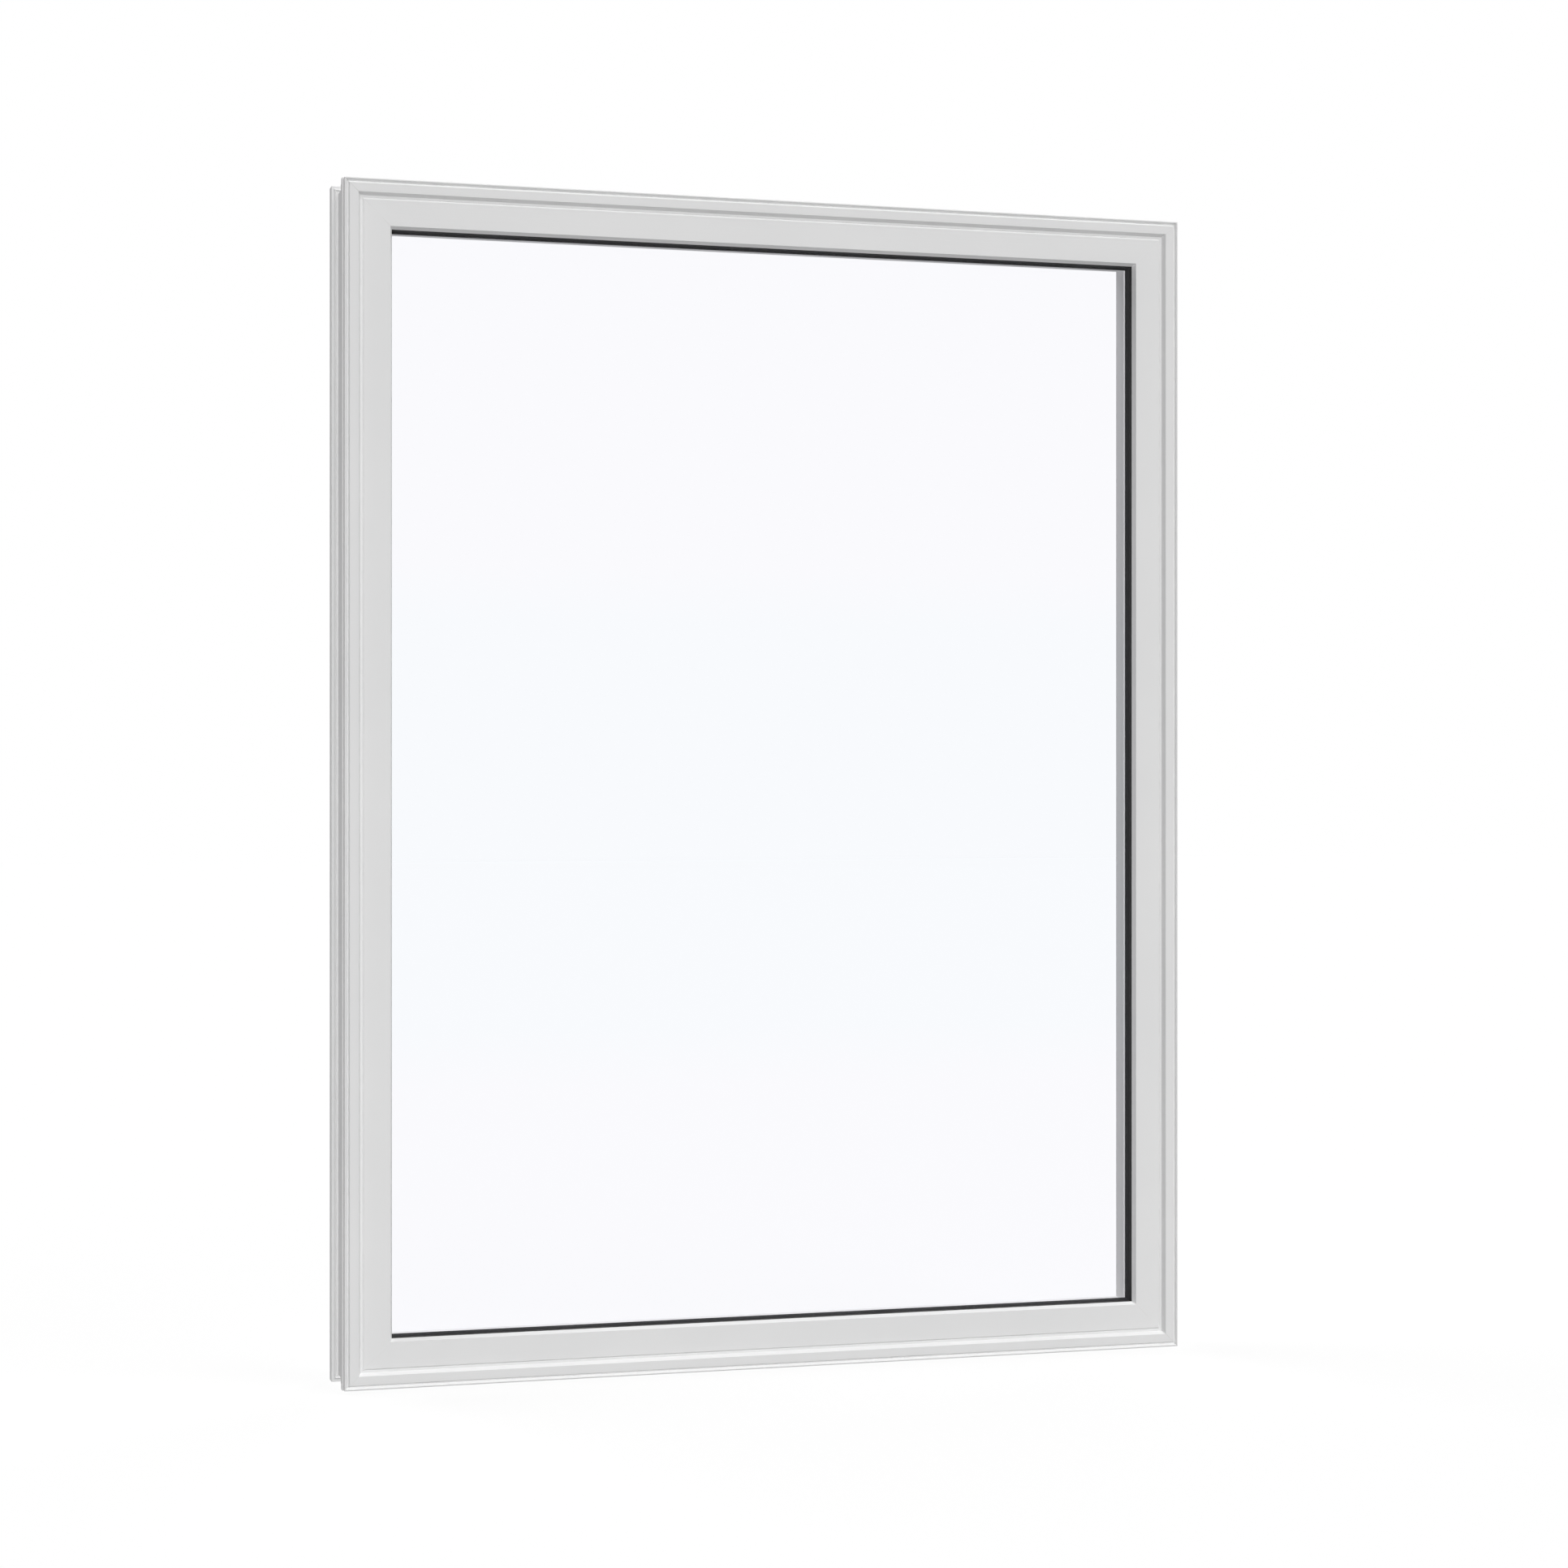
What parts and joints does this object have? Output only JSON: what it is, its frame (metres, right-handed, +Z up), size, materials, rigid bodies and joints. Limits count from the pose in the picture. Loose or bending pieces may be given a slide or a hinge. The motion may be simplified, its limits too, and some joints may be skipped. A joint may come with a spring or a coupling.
{
  "type": "fixed picture window",
  "caption": "Fixed picture window: a white mitred plastic frame with a rear flange, glazing beads and a clear sealed double glass unit with black edge seals.",
  "frame": {"origin": "middle of the bottom edge of the frame's flat back face", "axes": "+Z up, +X to the right seen from the front, the front faces -Y and the flat back faces +Y"},
  "size_m": [0.9092, 0.089, 1.2284],
  "materials": {
    "white_vinyl": "smooth extruded white PVC with a soft sheen",
    "black_gasket": "matt black rubber seal",
    "black_spacer": "matt black edge spacer bar",
    "glazing_tape": "pale foam glazing tape",
    "clear_glass": "clear float glass"
  },
  "bodies": {
    "root": {"frame_sill": "white_vinyl", "frame_jamb_right": "white_vinyl", "frame_head": "white_vinyl", "frame_jamb_left": "white_vinyl", "glazing_bead_bottom": "white_vinyl", "glazing_bead_right": "white_vinyl", "glazing_bead_top": "white_vinyl", "glazing_bead_left": "white_vinyl", "glazing_gasket_bottom": "black_gasket", "glazing_gasket_right": "black_gasket", "glazing_gasket_top": "black_gasket", "glazing_gasket_left": "black_gasket", "glass_spacer_bottom": "black_spacer", "glass_spacer_right": "black_spacer", "glass_spacer_top": "black_spacer", "glass_spacer_left": "black_spacer", "glazing_tape_bottom": "glazing_tape", "glazing_tape_right": "glazing_tape", "glazing_tape_top": "glazing_tape", "glazing_tape_left": "glazing_tape", "outer_pane": "clear_glass", "inner_pane": "clear_glass"}
  },
  "joints": []
}
